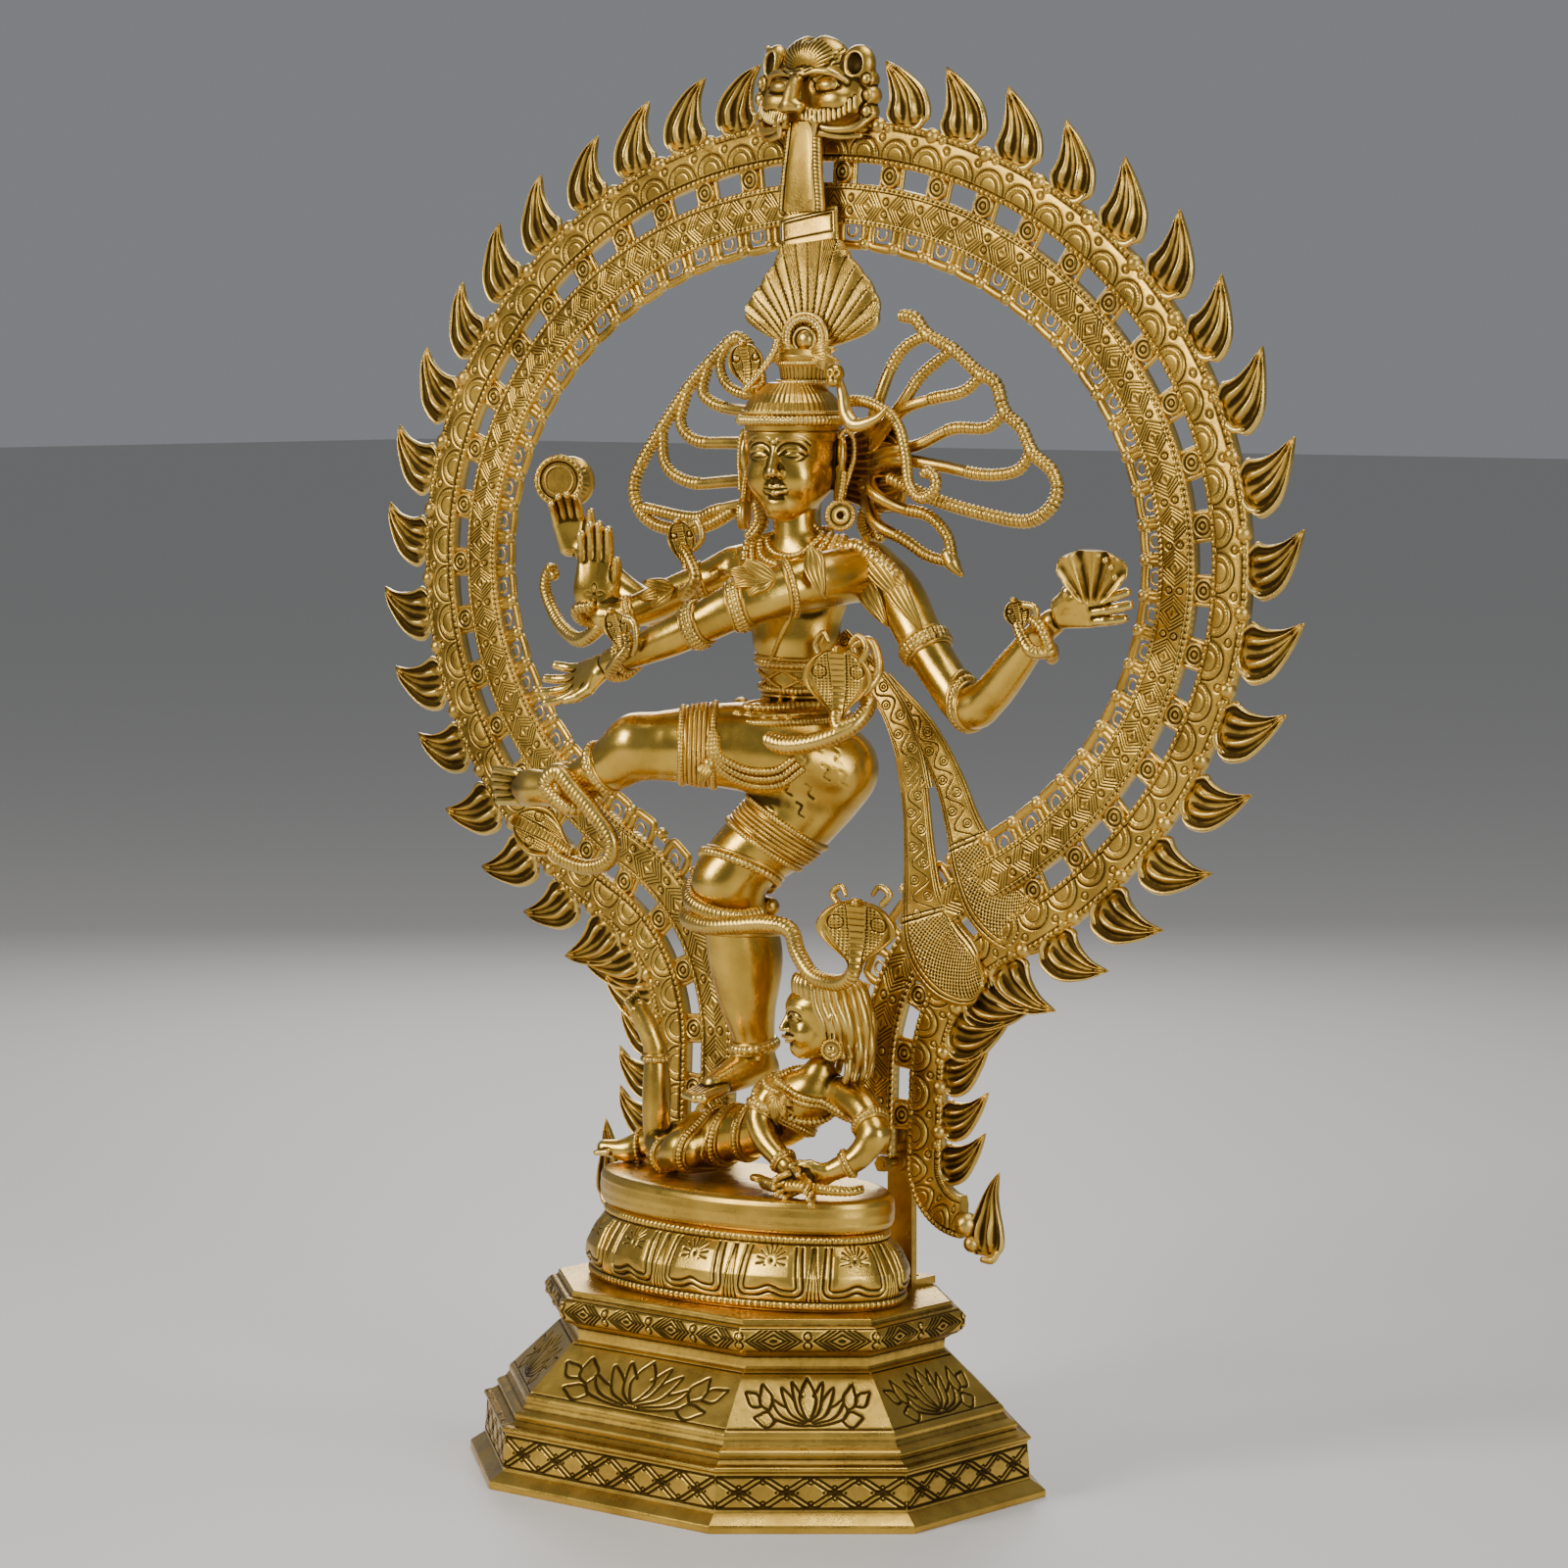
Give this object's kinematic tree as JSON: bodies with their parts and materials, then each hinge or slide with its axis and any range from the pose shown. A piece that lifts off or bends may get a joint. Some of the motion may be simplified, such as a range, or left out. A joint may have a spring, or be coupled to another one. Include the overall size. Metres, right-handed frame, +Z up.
{
  "type": "nataraja statue",
  "caption": "Brass dancing four-armed figure on a dwarf, inside a ring of flames, on a lotus drum and a stepped octagonal pedestal.",
  "frame": {"origin": "centre of the pedestal's underside, on the surface that it stands on", "axes": "+Z up, front of the statue towards -Y, +X to the figure's own left"},
  "size_m": [0.775, 0.292, 0.9137],
  "materials": {
    "base_brass": "satin cast brass with engraved lines and dark antique patina in the recesses",
    "figure_brass": "polished cast brass with warm lacquer and dark patina in the creases",
    "arch_brass": "antique brass, bright on raised edges and dark brown in the recesses",
    "ornament_brass": "antique brass with fine engraved texture and dark recesses",
    "steel": "zinc plated"
  },
  "bodies": {
    "root": {"pedestal_base": "base_brass", "lotus_drum": "base_brass", "plinth_plate": "base_brass", "base_studs": "steel", "base_washers": "steel", "base_nuts": "steel", "arch_outer_band_left": "arch_brass", "arch_outer_band_right": "arch_brass", "arch_inner_band_left": "arch_brass", "arch_inner_band_right": "arch_brass", "arch_ring_spacers": "arch_brass", "arch_inner_loops": "arch_brass", "flames_left": "arch_brass", "flames_right": "arch_brass", "flame_balls": "arch_brass", "lion_mask": "arch_brass", "tongue_plate": "arch_brass", "crown_strap": "arch_brass", "arch_bracket_left": "arch_brass", "arch_bracket_right": "arch_brass", "bracket_bolts": "steel", "bracket_nuts": "steel", "torso": "figure_brass", "head": "figure_brass", "peacock_crest": "ornament_brass", "hair_fan_left": "ornament_brass", "hair_fan_right": "ornament_brass", "ear_rings": "ornament_brass", "standing_leg": "figure_brass", "raised_leg": "figure_brass", "arm_front_left": "figure_brass", "arm_front_right": "figure_brass", "arm_back_left": "figure_brass", "arm_back_right": "figure_brass", "hand_drum": "ornament_brass", "hand_flame": "ornament_brass", "sash": "ornament_brass", "waist_cobra": "ornament_brass", "knee_cobra": "ornament_brass", "ankle_cobra": "ornament_brass", "arm_cobras": "ornament_brass", "dwarf_body": "ornament_brass", "dwarf_head": "ornament_brass", "dwarf_arms": "ornament_brass"}
  },
  "joints": []
}
